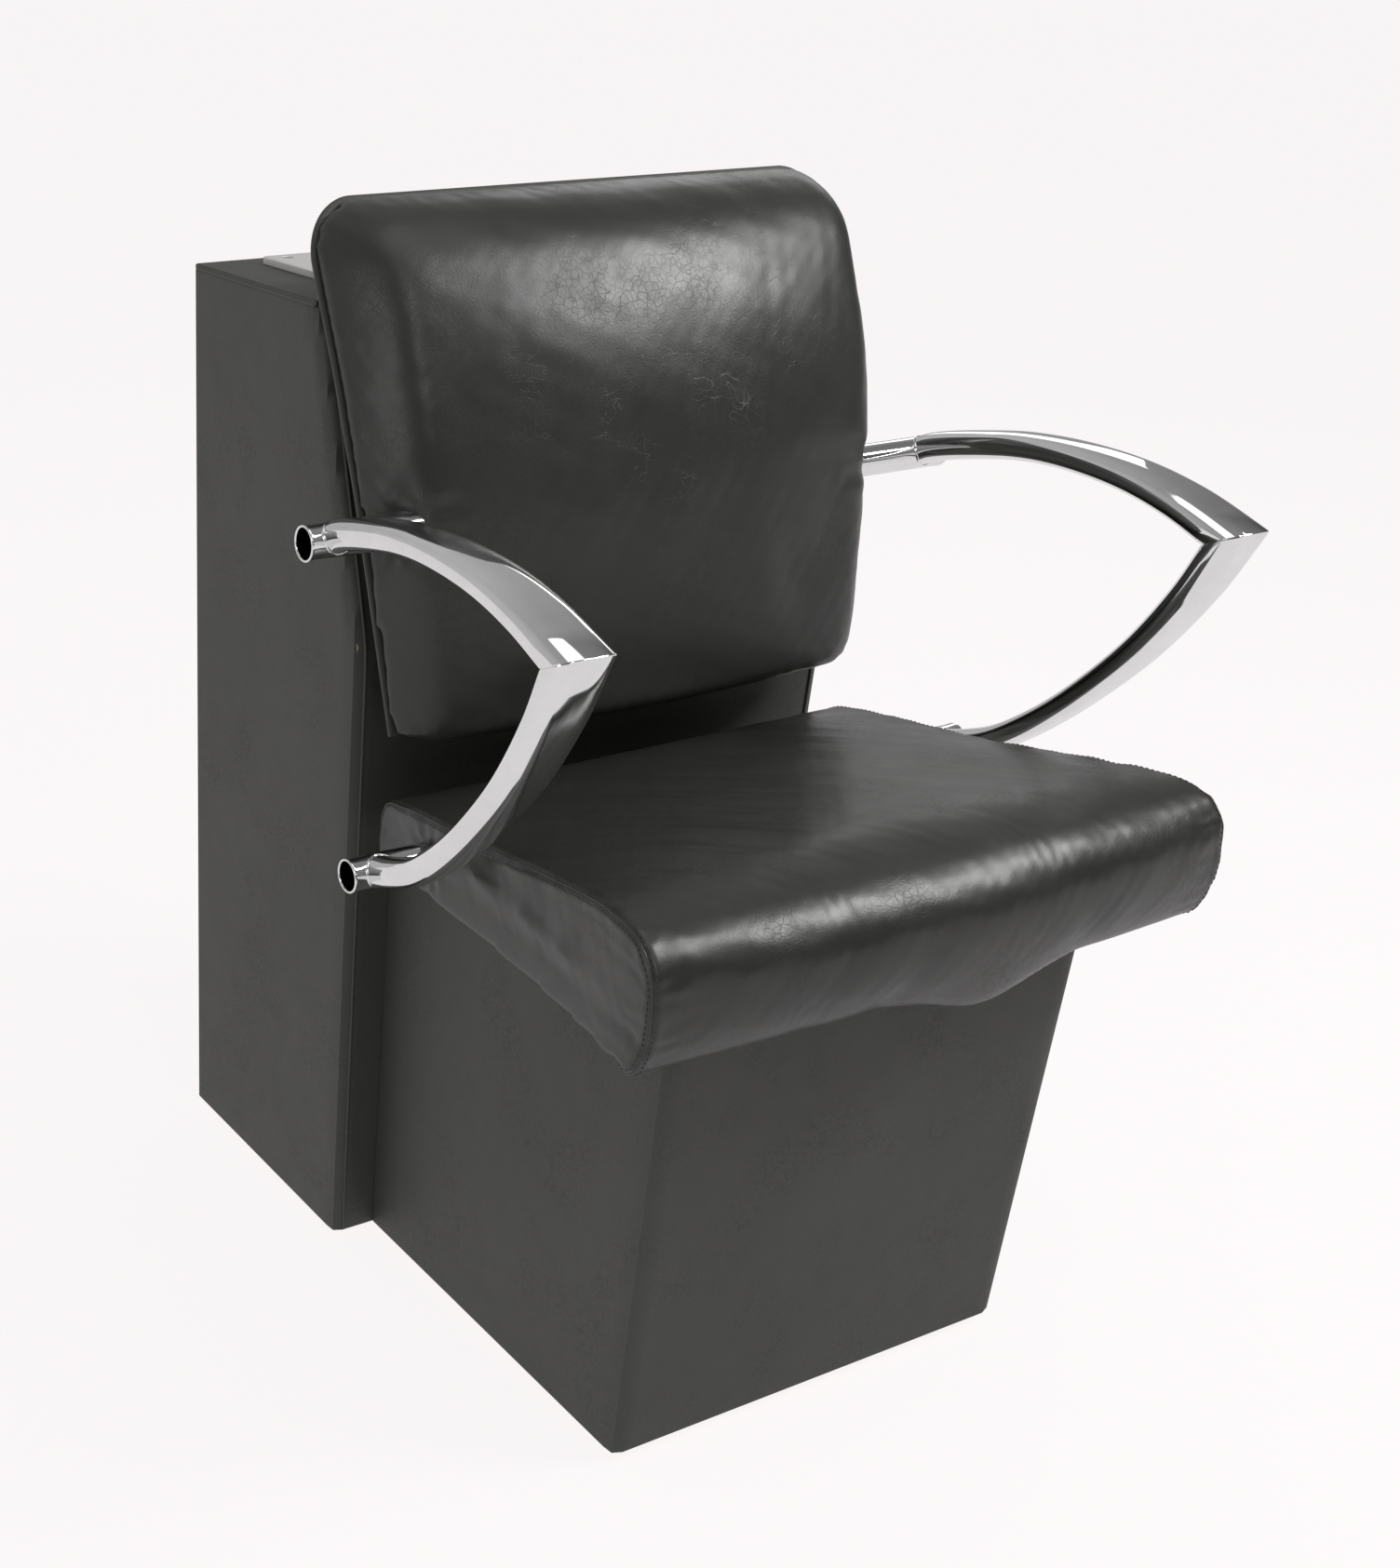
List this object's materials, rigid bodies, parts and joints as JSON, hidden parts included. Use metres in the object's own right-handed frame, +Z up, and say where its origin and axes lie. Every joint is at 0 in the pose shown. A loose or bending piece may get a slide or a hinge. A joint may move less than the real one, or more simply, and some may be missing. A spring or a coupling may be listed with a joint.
{
  "type": "salon dryer chair",
  "caption": "Upholstered salon chair with a reclined back, chrome loop arms and a box base, joined to a tall rear cabinet whose top carries a hood dryer post.",
  "frame": {"origin": "on the floor, under the middle of the bounding box", "axes": "+Z up; the sitter faces -Y; +X is the sitter's left-hand side"},
  "size_m": [0.6446, 0.7148, 0.889],
  "materials": {
    "cushion_vinyl": "semi-gloss upholstery vinyl with a fine grain",
    "box_vinyl": "satin vinyl stretched flat",
    "plywood": "raw birch plywood",
    "rear_board": "black-faced hardboard",
    "hardwood": "raw hardwood",
    "foam": "cut polyurethane foam",
    "chrome": "polished chrome plate",
    "steel_plate": "brushed",
    "zinc_steel": "zinc plated",
    "rubber": "matt",
    "glide_plastic": "matt moulded"
  },
  "bodies": {
    "chair": {"back_board": "plywood", "back_foam": "foam", "back_front_cover": "cushion_vinyl", "back_left_arm_block": "hardwood", "back_outer_panel": "cushion_vinyl", "back_right_arm_block": "hardwood", "base_bottom_panel": "plywood", "base_front_panel": "plywood", "base_left_panel": "plywood", "base_right_panel": "plywood", "base_top_deck": "plywood", "base_vinyl_cover": "box_vinyl", "cabinet_bottom_panel": "plywood", "cabinet_front_lower_panel": "plywood", "cabinet_front_upper_panel": "plywood", "cabinet_left_panel": "plywood", "cabinet_rear_panel": "rear_board", "cabinet_right_panel": "plywood", "cabinet_top_cover": "box_vinyl", "cabinet_top_panel": "plywood", "cabinet_vinyl_cover": "box_vinyl", "cord_grommet": "rubber", "dryer_mount_plate": "steel_plate", "left_arm_lower_bolt": "zinc_steel", "left_arm_lower_sleeve": "chrome", "left_arm_lower_tube": "chrome", "left_arm_upper_bolt": "zinc_steel", "left_arm_upper_sleeve": "chrome", "left_arm_upper_tube": "chrome", "mount_plate_screw_1": "zinc_steel", "mount_plate_screw_2": "zinc_steel", "mount_plate_screw_3": "zinc_steel", "mount_plate_screw_4": "zinc_steel", "rear_panel_screw_1": "zinc_steel", "rear_panel_screw_2": "zinc_steel", "rear_panel_screw_3": "zinc_steel", "rear_panel_screw_4": "zinc_steel", "right_arm_lower_bolt": "zinc_steel", "right_arm_lower_sleeve": "chrome", "right_arm_lower_tube": "chrome", "right_arm_upper_bolt": "zinc_steel", "right_arm_upper_sleeve": "chrome", "right_arm_upper_tube": "chrome", "seat_bolt_1": "zinc_steel", "seat_bolt_2": "zinc_steel", "seat_bolt_3": "zinc_steel", "seat_bolt_4": "zinc_steel", "seat_foam": "foam", "seat_left_arm_block": "hardwood", "seat_left_gusset": "cushion_vinyl", "seat_pan": "plywood", "seat_right_arm_block": "hardwood", "seat_right_gusset": "cushion_vinyl", "seat_top_cover": "cushion_vinyl"},
    "base_front_left_glide_foot": {"base_front_left_glide": "glide_plastic"},
    "base_front_right_glide_foot": {"base_front_right_glide": "glide_plastic"},
    "base_rear_left_glide_foot": {"base_rear_left_glide": "glide_plastic"},
    "base_rear_right_glide_foot": {"base_rear_right_glide": "glide_plastic"},
    "cabinet_rear_left_glide_foot": {"cabinet_rear_left_glide": "glide_plastic"},
    "cabinet_rear_right_glide_foot": {"cabinet_rear_right_glide": "glide_plastic"}
  },
  "joints": [
    {"name": "base_front_left_glide_screw", "type": "slide", "parent": "chair", "child": "base_front_left_glide_foot", "axis": [0, 0, -1], "range_m": [0, 0.01]},
    {"name": "base_front_right_glide_screw", "type": "slide", "parent": "chair", "child": "base_front_right_glide_foot", "axis": [0, 0, -1], "range_m": [0, 0.01]},
    {"name": "base_rear_left_glide_screw", "type": "slide", "parent": "chair", "child": "base_rear_left_glide_foot", "axis": [0, 0, -1], "range_m": [0, 0.01]},
    {"name": "base_rear_right_glide_screw", "type": "slide", "parent": "chair", "child": "base_rear_right_glide_foot", "axis": [0, 0, -1], "range_m": [0, 0.01]},
    {"name": "cabinet_rear_left_glide_screw", "type": "slide", "parent": "chair", "child": "cabinet_rear_left_glide_foot", "axis": [0, 0, -1], "range_m": [0, 0.01]},
    {"name": "cabinet_rear_right_glide_screw", "type": "slide", "parent": "chair", "child": "cabinet_rear_right_glide_foot", "axis": [0, 0, -1], "range_m": [0, 0.01]}
  ]
}
